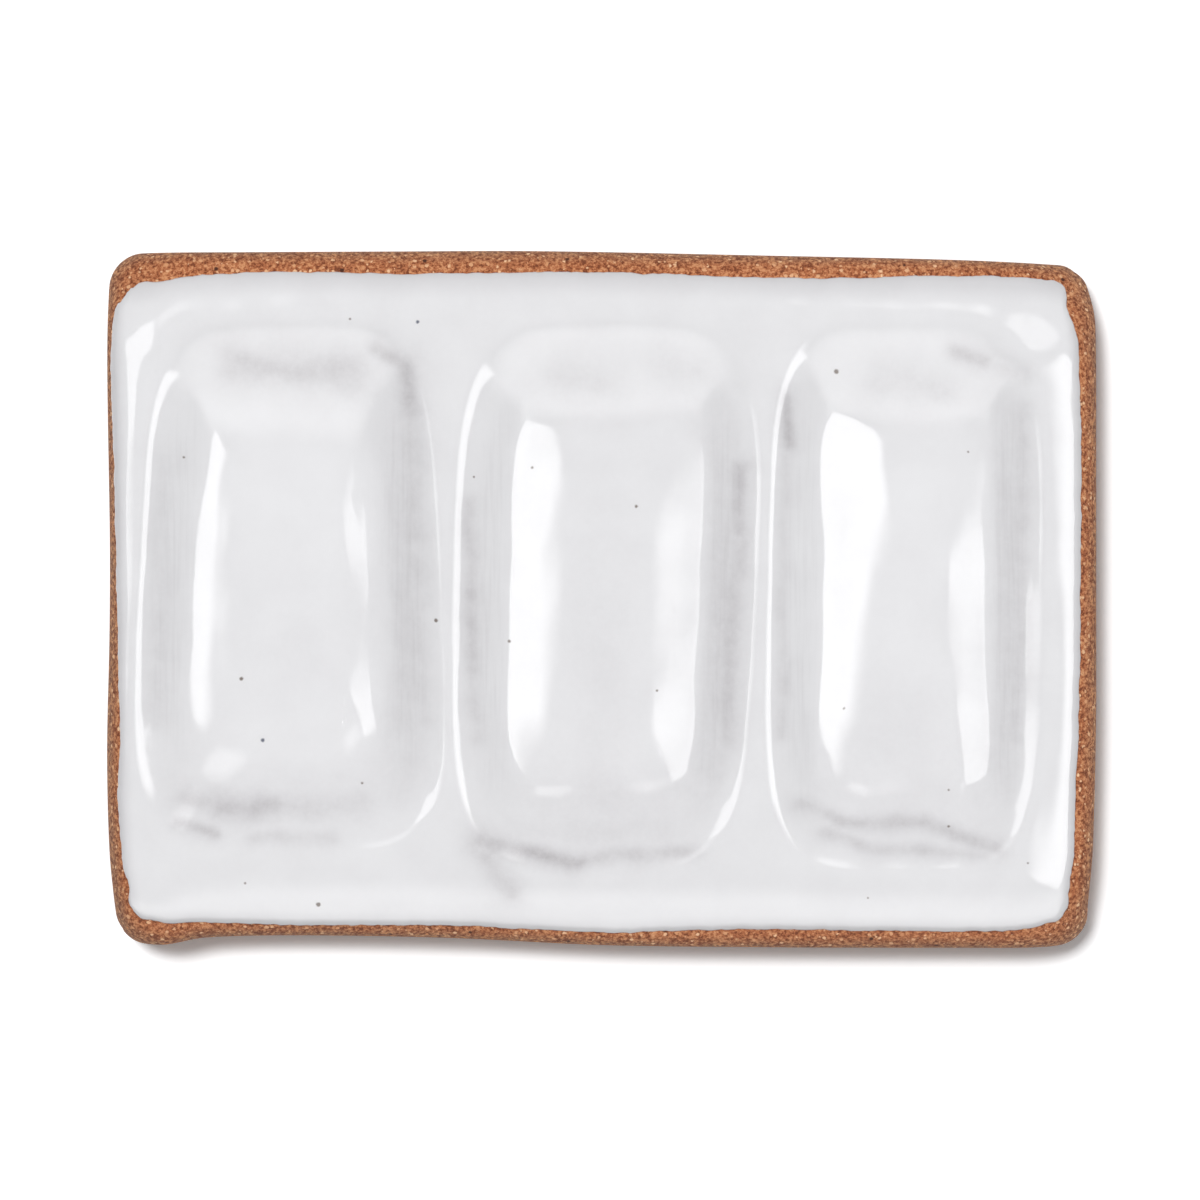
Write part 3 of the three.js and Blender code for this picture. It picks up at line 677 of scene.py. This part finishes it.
class Shell:
    """The points and faces of one closed skin, gathered sheet by sheet."""

    def __init__(self):
        self.points, self.faces, self.count = [], [], 0

    def add(self, points):
        """Adds points and gives their numbers in the same layout."""
        numbers = self.count + np.arange(points[..., 0].size).reshape(points.shape[:-1])
        self.points.append(points.reshape(-1, 3))
        self.count += numbers.size
        return numbers

    def sheet(self, rows, flip=False):
        """Quads over a grid of numbers."""
        corners = rows[:-1, :-1], rows[:-1, 1:], rows[1:, 1:], rows[1:, :-1]
        quads = np.stack(corners, axis=-1).reshape(-1, 4)
        self.faces.append(quads[:, ::-1] if flip else quads)

    def rings(self, rings, flip=False):
        """Quads between closed rings of equal count, from the outer one in or the lower one up."""
        self.sheet(np.stack([np.append(ring, ring[0]) for ring in rings]), flip)

    def stitch(self, fine, coarse, flip=False):
        """Triangles from a fine outer ring to a coarse inner one: each coarse step takes four fine
        ones, two to its start and two to its end, and one triangle between."""
        ends = np.roll(coarse, -1)
        steps = np.append(fine, fine[0])
        quarter = [steps[k:len(fine) + k:COARSER][:len(coarse)] for k in range(COARSER + 1)]
        triangles = np.concatenate([
            np.stack([quarter[0], quarter[1], coarse], axis=-1),
            np.stack([quarter[1], quarter[2], coarse], axis=-1),
            np.stack([quarter[2], ends, coarse], axis=-1),
            np.stack([quarter[2], quarter[3], ends], axis=-1),
            np.stack([quarter[3], quarter[4], ends], axis=-1),
        ])
        self.faces.append(triangles[:, ::-1] if flip else triangles)

    def mesh(self, name):
        """The skin as a Blender mesh in metres, shaded smooth."""
        faces = [face for part in self.faces for face in part.tolist()]
        mesh = bpy.data.meshes.new(name)
        mesh.from_pydata(np.concatenate(self.points) * MM, [], faces)
        mesh.validate()
        mesh.shade_smooth()
        return mesh


def hidden_sheet(shell, form, edge, flip=False):
    """The clay's top under the coat, in coarser cells, from the fine ring of points at the coat's
    edge inwards. The slab and the coat's underside both take it, so they lie face to face."""
    rim = Rim(COARSER)
    x, y = field_grid(COARSER)
    field = shell.add(form.clay(x, y))
    rings = []
    for share in HIDDEN_RINGS:
        places, _ = rim.under_coat(form.roll, share)
        rings.append(shell.add(form.clay(*places.T)))
    shell.stitch(edge, rings[0], flip)
    shell.rings([*rings, np.concatenate(round_field(field))], flip)
    shell.sheet(field, flip)


def keep_values(mesh, name, values):
    """Stores one value for each point on the mesh, for its material to read."""
    mesh.attributes.new(name, "FLOAT", "POINT").data.foreach_set("value", values.astype(np.float32))


def place_piece(mesh, material, replaced):
    """Puts a mesh in the scene as the piece that stands for a node of the part."""
    piece = bpy.data.objects.new(mesh.name, mesh)
    bpy.context.scene.collection.objects.link(piece)
    mesh.materials.append(material)
    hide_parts(replaced)
    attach(piece, "root")


def node(tree, kind, inputs=None, **settings):
    """Adds one shader node of a kind, with its settings, and its inputs as values or links."""
    made = tree.nodes.new("ShaderNode" + kind)
    for name, value in settings.items():
        setattr(made, name, value)
    for key, value in (inputs or {}).items():
        if isinstance(value, bpy.types.NodeSocket):
            tree.links.new(value, made.inputs[key])
        else:
            made.inputs[key].default_value = value
    return made


def new_material(name):
    """An empty node material."""
    material = bpy.data.materials.new(name)
    material.use_nodes = True
    material.node_tree.nodes.clear()
    return material, material.node_tree


def fired_red_clay(colours):
    """Terracotta: iron-red clay with pale grog, fired unglazed.

    It is dull and grainy: pale angular grains of 0.2 to 0.5 mm, a few dark pores, a redder ground
    close to the glaze and a dustier, browner one on the rounded shoulder and sides.
    """
    material, tree = new_material("terracotta_with_grog")
    place = node(tree, "TexCoord").outputs["Object"]
    normal = node(tree, "NewGeometry").outputs["Normal"]
    up = node(tree, "SeparateXYZ", {0: normal}).outputs["Z"]

    # Soft patches 2 to 3 mm wide and sandy mottling of 0.3 mm
    patches = node(tree, "TexNoise", {"Vector": place, "Scale": 380, "Detail": 3}).outputs[0]
    sand = node(tree, "TexNoise", {
        "Vector": place, "Scale": 2400, "Detail": 3, "Roughness": 0.75}).outputs[0]

    # Layers of the ground, each over the one before: dust where the clay is steep, redder patches,
    # and dark and pale sand
    ground = linear(colours.clay)
    for pattern, start, full, most, colour in (
            (up, 0.85, 0.35, 1, DUSTY_CLAY), (patches, 0.35, 0.7, 0.4, RED_PATCH),
            (sand, 0.49, 0.4, 0.9, DARK_SAND), (sand, 0.52, 0.6, 0.75, PALE_SAND)):
        share = node(tree, "MapRange", {
            "Value": pattern, "From Min": start, "From Max": full, "To Max": most}).outputs[0]
        ground = node(tree, "Mix", {
            "Factor": share, "A": ground, "B": linear(colour)}, data_type="RGBA").outputs[2]

    # Grog: of cells 0.55 mm wide, warped every 0.3 mm, half hold an angular grain
    warp = node(tree, "TexNoise", {"Vector": place, "Scale": 3500}).outputs["Color"]
    warped = node(tree, "VectorMath", {
        0: warp, 1: (0.35 * MM,) * 3, 2: place}, operation="MULTIPLY_ADD").outputs[0]
    cells = node(tree, "TexVoronoi", {"Vector": warped, "Scale": 1800, "Randomness": 1}).outputs
    drawn = node(tree, "SeparateColor", {0: cells["Color"]}).outputs
    chosen = node(tree, "Math", {
        0: drawn[0], 1: 1 - GRAINS_SHARE}, operation="GREATER_THAN").outputs[0]
    size = node(tree, "MapRange", {"Value": drawn[1], "To Min": 0.14, "To Max": 0.44}).outputs[0]
    body = node(tree, "Math", {0: size, 1: cells["Distance"]}, operation="SUBTRACT").outputs[0]
    grain = node(tree, "MapRange", {"Value": body, "From Min": -0.02, "From Max": 0.08}).outputs[0]
    grain = node(tree, "Math", {0: grain, 1: chosen}, operation="MULTIPLY").outputs[0]
    tint = node(tree, "Mix", {
        "Factor": drawn[2], "A": linear(BROWN_GROG), "B": linear(colours.grog)},
        data_type="RGBA").outputs[2]

    # Pores and burnt iron: small, in a fifth of cells 1.6 mm wide
    cells = node(tree, "TexVoronoi", {"Vector": place, "Scale": 620, "Randomness": 1}).outputs
    drawn = node(tree, "SeparateColor", {0: cells["Color"]}).outputs
    chosen = node(tree, "Math", {
        0: drawn[0], 1: 1 - PORES_SHARE}, operation="GREATER_THAN").outputs[0]
    hole = node(tree, "MapRange", {
        "Value": cells["Distance"], "From Min": 0.16, "From Max": 0.1}).outputs[0]
    hole = node(tree, "Math", {0: hole, 1: chosen}, operation="MULTIPLY").outputs[0]

    coloured = ground
    for share, colour in ((grain, tint), (hole, linear(colours.pore))):
        coloured = node(tree, "Mix", {
            "Factor": share, "A": coloured, "B": colour}, data_type="RGBA").outputs[2]

    # Relief of the grains, the sand and the pores, a few hundredths of a millimetre high
    relief = node(tree, "Math", {
        0: grain, 1: GRAIN_RELIEF, 2: sand}, operation="MULTIPLY_ADD").outputs[0]
    relief = node(tree, "Math", {0: relief, 1: hole}, operation="SUBTRACT").outputs[0]
    bump = node(tree, "Bump", {"Height": relief, "Distance": 0.06 * MM, "Strength": 1.0}).outputs[0]
    shader = node(tree, "BsdfPrincipled", {
        "Base Color": coloured, "Roughness": 0.82, "IOR": 1.5,
        "Specular IOR Level": 0.3, "Normal": bump})
    node(tree, "OutputMaterial", {"Surface": shader.outputs[0]})
    return material


def white_gloss_glaze(colours):
    """Opaque white stoneware glaze over red clay.

    Glassy and wet-looking, a little cool. Where it ran thin over lips and steep walls the clay
    greys it to lilac, fine runs follow the walls, and a few iron and cobalt specks melted into it.
    The same grey is also painted shade on the wells' right walls, front ends and fronts, in lines
    under the side lips and in a wider band along the back edge; and painted light whitens the
    wells' backs and the front rim.
    """
    material, tree = new_material("white_gloss_glaze")
    place = node(tree, "TexCoord").outputs["Object"]
    # Grey of thin glaze, with painted shade and painted light
    thin_and_shade = node(tree, "Attribute", attribute_name="thin_and_shade").outputs["Fac"]
    steep = node(tree, "Attribute", attribute_name="steep").outputs["Fac"]
    # Grey at the coat's edge: thin glaze, and painted shade along the back
    edge = node(tree, "Attribute", attribute_name="edge_thin_and_shade").outputs["Fac"]

    # Clouding of the white over 4 mm, and the ragged grain of the places of thin glaze and painted
    # shade, 0.7 mm and finer
    cloud = node(tree, "TexNoise", {"Vector": place, "Scale": 240, "Detail": 4}).outputs[0]
    ragged = node(tree, "TexNoise", {
        "Vector": place, "Scale": 1500, "Detail": 4, "Roughness": 0.65}).outputs[0]

    # Runs on the steep side walls: 0.35 mm apart and some 8 mm long
    stretched = node(tree, "Mapping", {"Vector": place, "Scale": (2800, 120, 500)}).outputs[0]
    runs = node(tree, "TexNoise", {"Vector": stretched, "Scale": 1, "Detail": 2}).outputs[0]
    run_mask = node(tree, "MapRange", {
        "Value": runs, "From Min": 0.45, "From Max": 0.72, "To Max": 0.12}).outputs[0]

    # Grey is the thin glaze and painted shade times ragged, plus runs times steep, plus the edge's
    # share (thin glaze, with painted shade along the back), plus the clouding
    grey = node(tree, "MapRange", {
        "Value": ragged, "From Min": 0.3, "From Max": 0.65,
        "To Min": 0.8, "To Max": 1.05}).outputs[0]
    grey = node(tree, "Math", {0: thin_and_shade, 1: grey}, operation="MULTIPLY").outputs[0]
    clouded = node(tree, "MapRange", {
        "Value": cloud, "From Min": 0.3, "From Max": 0.7, "To Max": 0.08}).outputs[0]
    for what, share in ((run_mask, steep), (edge, EDGE_GREY), (clouded, 1.0)):
        grey = node(tree, "Math", {
            0: what, 1: share, 2: grey}, operation="MULTIPLY_ADD", use_clamp=True).outputs[0]
    colour = node(tree, "Mix", {
        "Factor": grey, "A": linear(colours.glaze), "B": linear(colours.thin_glaze_and_shade)},
        data_type="RGBA").outputs[2]

    # Specks: each is a disc in plan, its rim bled by the ragged grain
    flat = node(tree, "VectorMath", {0: place, 1: (1, 1, 0)}, operation="MULTIPLY").outputs[0]
    for x, y, radius, blue in SPECKS:
        away = node(tree, "VectorMath", {
            0: flat, 1: (x * MM, y * MM, 0)}, operation="DISTANCE").outputs["Value"]
        away = node(tree, "Math", {
            0: ragged, 1: -SPECK_BLEED * MM, 2: away}, operation="MULTIPLY_ADD").outputs[0]
        spot = node(tree, "MapRange", {
            "Value": away, "From Min": (radius - SPECK_RIM) * MM,
            "From Max": (radius - SPECK_CORE) * MM, "To Max": 0.85}).outputs[0]
        colour = node(tree, "Mix", {
            "Factor": spot, "A": colour, "B": linear(COBALT_SPECK if blue else IRON_SPECK)},
            data_type="RGBA").outputs[2]

    # Orange peel: ripples 1.6 mm apart, and the relief of the runs, both under 0.01 mm high
    peel = node(tree, "TexNoise", {"Vector": place, "Scale": 620, "Detail": 1}).outputs[0]
    ripple = node(tree, "Bump", {
        "Height": peel, "Distance": 0.012 * MM, "Strength": 1.0}).outputs[0]
    run_relief = node(tree, "Math", {0: runs, 1: steep}, operation="MULTIPLY").outputs[0]
    ripple = node(tree, "Bump", {
        "Height": run_relief, "Distance": 0.012 * MM, "Strength": 1.0, "Normal": ripple}).outputs[0]
    shader = node(tree, "BsdfPrincipled", {
        "Base Color": colour, "Roughness": 0.06, "IOR": 1.52, "Normal": ripple})
    node(tree, "OutputMaterial", {"Surface": shader.outputs[0]})
    return material


class PALETTE_OT_clay_slab(bpy.types.Operator):
    """Makes the clay slab with its bare base, sides and shoulder"""

    bl_idname = "palette.clay_slab"
    bl_label = "Make the clay slab"

    def execute(self, context):
        form = Form(context.scene.palette_sizes)
        fine, coarse = Rim(1), Rim(COARSER)
        shell = Shell()

        # Base: from near the foot in to the middle, in coarse cells
        foot = coarse.inset(FOOT_RADIUS)
        base = [shell.add(at_height(foot * share, 0.0)) for share in BASE_RINGS]
        shell.rings(base, flip=True)
        innermost = base[-1]
        centre = np.full(len(innermost), shell.add(np.zeros((1, 3)))[0])
        shell.faces.append(np.stack([centre, np.roll(innermost, -1), innermost], axis=-1))

        # Sides: rings up a quarter circle at the foot, the upright side, and over the shoulder to
        # the coat. The distance in from the outline is known there, and the last rings leave it to
        # be worked out, as the coat does, so that the two meet
        rings = []
        for turn in np.linspace(0, 1, FOOT_RINGS) * np.pi / 2:
            places = fine.inset(FOOT_RADIUS * (1 - np.sin(turn)))
            rings.append(at_height(places, FOOT_RADIUS * (1 - np.cos(turn))))
        brow = form.clay_height(*fine.edge.T, known=0.0)
        for share in np.linspace(0, 1, SIDE_RINGS)[1:-1]:
            rings.append(at_height(fine.edge, FOOT_RADIUS + (brow - FOOT_RADIUS) * share))
        for share in np.linspace(0, 1, SHOULDER_RINGS):
            gap = fine.bare * share * share
            known = gap if share < KNOWN_UP_TO else None
            rings.append(form.clay(*fine.inset(gap).T, known))
        numbers = [shell.add(ring) for ring in rings]
        shell.stitch(numbers[0], base[0], flip=True)
        shell.rings(numbers)
        hidden_sheet(shell, form, numbers[-1])
        material = fired_red_clay(context.scene.palette_colours)
        place_piece(shell.mesh("clay_slab"), material, "clay_body")
        return {"FINISHED"}


class PALETTE_OT_glaze_coat(bpy.types.Operator):
    """Makes the coat of white glaze on the slab"""

    bl_idname = "palette.glaze_coat"
    bl_label = "Make the glaze coat"

    def execute(self, context):
        form = Form(context.scene.palette_sizes)
        rim = Rim(1)
        shell = Shell()
        x, y = field_grid(1)
        field = shell.add(form.coat(x, y))
        places, _ = rim.under_coat(form.roll, 0)
        rings = [shell.add(form.clay(*places.T))]
        for share in COAT_RINGS:
            places, swell = rim.under_coat(form.roll, share)
            rings.append(shell.add(form.coat(*places.T, swell)))
        shell.rings([*rings, np.concatenate(round_field(field))])
        shell.sheet(field)
        hidden_sheet(shell, form, rings[0], flip=True)
        mesh = shell.mesh("glaze_skin")

        x, y, _ = np.concatenate(shell.points).T
        steepness = np.abs(form.slope(x, y, STEEPNESS_STEP, 0))
        # Grey of thin glaze, and painted shade and painted light
        keep_values(mesh, "thin_and_shade", form.thinness_and_shade(x, y))
        keep_values(mesh, "steep", smoothstep(steepness, *RUNS_SLOPES))
        # Grey at the coat's edge: thin glaze, and painted shade along the back
        keep_values(mesh, "edge_thin_and_shade", form.near_line(x, y))
        material = white_gloss_glaze(context.scene.palette_colours)
        place_piece(mesh, material, "glaze_coat")
        return {"FINISHED"}


class PALETTE_OT_stage(bpy.types.Operator):
    """Sets out the floor, the lights and the camera"""

    bl_idname = "palette.stage"
    bl_label = "Set the stage"

    def execute(self, context):
        scene = context.scene
        self.lay_floor(scene)
        self.hang_lights(scene)
        self.light_world(scene)
        self.aim_camera(scene)
        scene.view_settings.view_transform = "Standard"
        return {"FINISHED"}

    def lay_floor(self, scene):
        """A plain white floor that keeps the palette's shadow. The camera and reflections see one
        white, and it lights the palette with another."""
        mesh = bpy.data.meshes.new("floor")
        corners = [(across * FLOOR_REACH, along * FLOOR_REACH, 0)
                   for across, along in ((-1, -1), (1, -1), (1, 1), (-1, 1))]
        mesh.from_pydata(corners, [], [(0, 1, 2, 3)])
        floor = bpy.data.objects.new("floor", mesh)
        floor.location.z = -FLOOR_DROP
        scene.collection.objects.link(floor)
        material, tree = new_material("white_paper")
        colour = node(tree, "Mix", {
            "Factor": self.seen(tree), "A": PAPER_LIT, "B": PAPER_SEEN}, data_type="RGBA")
        paper = node(tree, "BsdfDiffuse", {"Color": colour.outputs[2]})
        node(tree, "OutputMaterial", {"Surface": paper.outputs[0]})
        mesh.materials.append(material)

    def seen(self, tree):
        """One for rays that show the background: from the camera, from gloss and through glass."""
        path = node(tree, "LightPath").outputs
        shown = path["Is Camera Ray"]
        for ray in ("Is Glossy Ray", "Is Transmission Ray"):
            shown = node(tree, "Math", {0: shown, 1: path[ray]}, operation="MAXIMUM").outputs[0]
        return shown

    def hang_lights(self, scene):
        """Soft boxes that show in the glaze, and a key lamp that lights all and doesn't show. The
        right soft box lights the palette too, but casts no second shadow on the floor."""
        pieces = bpy.data.collections.new("pieces")
        for name in ("clay_slab", "glaze_skin"):
            if name in scene.objects:
                pieces.objects.link(scene.objects[name])
        for lamp in LAMPS:
            hung = self.hang(scene, *lamp)
            if hung.visible_glossy:
                hung.light_linking.receiver_collection = pieces

    def hang(self, scene, name, spot, size, turn, radiance, matt, fade):
        """One rectangular lamp that faces the palette, dimmed towards its edges as cloth over a
        lamp is. A lamp's radiance is its power over four times its area."""
        lamp = bpy.data.lights.new(name, "AREA")
        lamp.shape = "RECTANGLE"
        lamp.size, lamp.size_y = size
        lamp.energy = 4 * radiance * size[0] * size[1]
        if fade:
            self.fade_edges(lamp, fade)
        hung = bpy.data.objects.new(name, lamp)
        hung.location = spot
        turned = Quaternion((0, 0, 1), np.radians(turn))
        hung.rotation_euler = (Vector(spot).to_track_quat("Z", "Y") @ turned).to_euler()
        hung.visible_camera = False
        hung.visible_diffuse = matt
        hung.visible_glossy = fade is not None
        scene.collection.objects.link(hung)
        return hung

    def fade_edges(self, lamp, fade):
        """Dims a lamp smoothly to nothing towards its sides, its far end and its near end."""
        sides, far, near = fade
        lamp.use_nodes = True
        tree = lamp.node_tree
        tree.nodes.clear()
        place = node(tree, "NewGeometry").outputs["Parametric"]
        axes = node(tree, "SeparateXYZ", {0: place})
        strength = 1.0
        ramps = (("X", 0, sides), ("X", 1, -sides), ("Y", 0, far), ("Y", 1, -near))
        for axis, edge, share in ramps:
            lit = node(tree, "MapRange", {
                "Value": axes.outputs[axis], "From Min": edge, "From Max": edge + share},
                interpolation_type="SMOOTHSTEP")
            strength = node(tree, "Math", {
                0: lit.outputs[0], 1: strength}, operation="MULTIPLY").outputs[0]
        glow = node(tree, "Emission", {"Strength": strength})
        node(tree, "OutputLight", {"Surface": glow.outputs[0]})

    def light_world(self, scene):
        """Even grey light all round, which shows as white behind the palette and in reflections."""
        world = bpy.data.worlds.new("studio")
        scene.world = world
        world.use_nodes = True
        tree = world.node_tree
        tree.nodes.clear()
        strength = node(tree, "MapRange", {
            "Value": self.seen(tree), "To Min": WORLD_LIT, "To Max": 1.0})
        sky = node(tree, "Background", {"Color": (1, 1, 1, 1), "Strength": strength.outputs[0]})
        node(tree, "OutputWorld", {"Surface": sky.outputs[0]})

    def aim_camera(self, scene):
        """Straight down from half a metre with a long lens, as the photograph was taken: its frame
        is about 121 mm wide at the slab's edge."""
        lens = bpy.data.cameras.new("camera")
        lens.lens, lens.sensor_width = LENS, SENSOR
        camera = bpy.data.objects.new("camera", lens)
        camera.location = CAMERA_PLACE
        scene.collection.objects.link(camera)
        scene.camera = camera


class PALETTE_PT_panel(bpy.types.Panel):
    """Sizes, colours and the steps that make the palette"""

    bl_label = "Paint palette"
    bl_idname = "PALETTE_PT_panel"
    bl_space_type = "VIEW_3D"
    bl_region_type = "UI"
    bl_category = "Palette"

    def draw(self, context):
        for group in (context.scene.palette_sizes, context.scene.palette_colours):
            column = self.layout.column(align=True)
            for name in group.bl_rna.properties.keys():
                if name not in {"rna_type", "name"}:
                    column.prop(group, name)
        for operator in OPERATORS:
            self.layout.operator(operator.bl_idname)


OPERATORS = (PALETTE_OT_clay_slab, PALETTE_OT_glaze_coat, PALETTE_OT_stage)
CLASSES = (PaletteSizes, PaletteColours, *OPERATORS, PALETTE_PT_panel)


def register():
    for cls in CLASSES:
        bpy.utils.register_class(cls)
    bpy.types.Scene.palette_sizes = bpy.props.PointerProperty(type=PaletteSizes)
    bpy.types.Scene.palette_colours = bpy.props.PointerProperty(type=PaletteColours)


def unregister():
    del bpy.types.Scene.palette_colours
    del bpy.types.Scene.palette_sizes
    for cls in reversed(CLASSES):
        bpy.utils.unregister_class(cls)


def main():
    register()
    bpy.ops.palette.clay_slab()
    bpy.ops.palette.glaze_coat()
    bpy.ops.palette.stage()


if __name__ == "__main__":
    main()
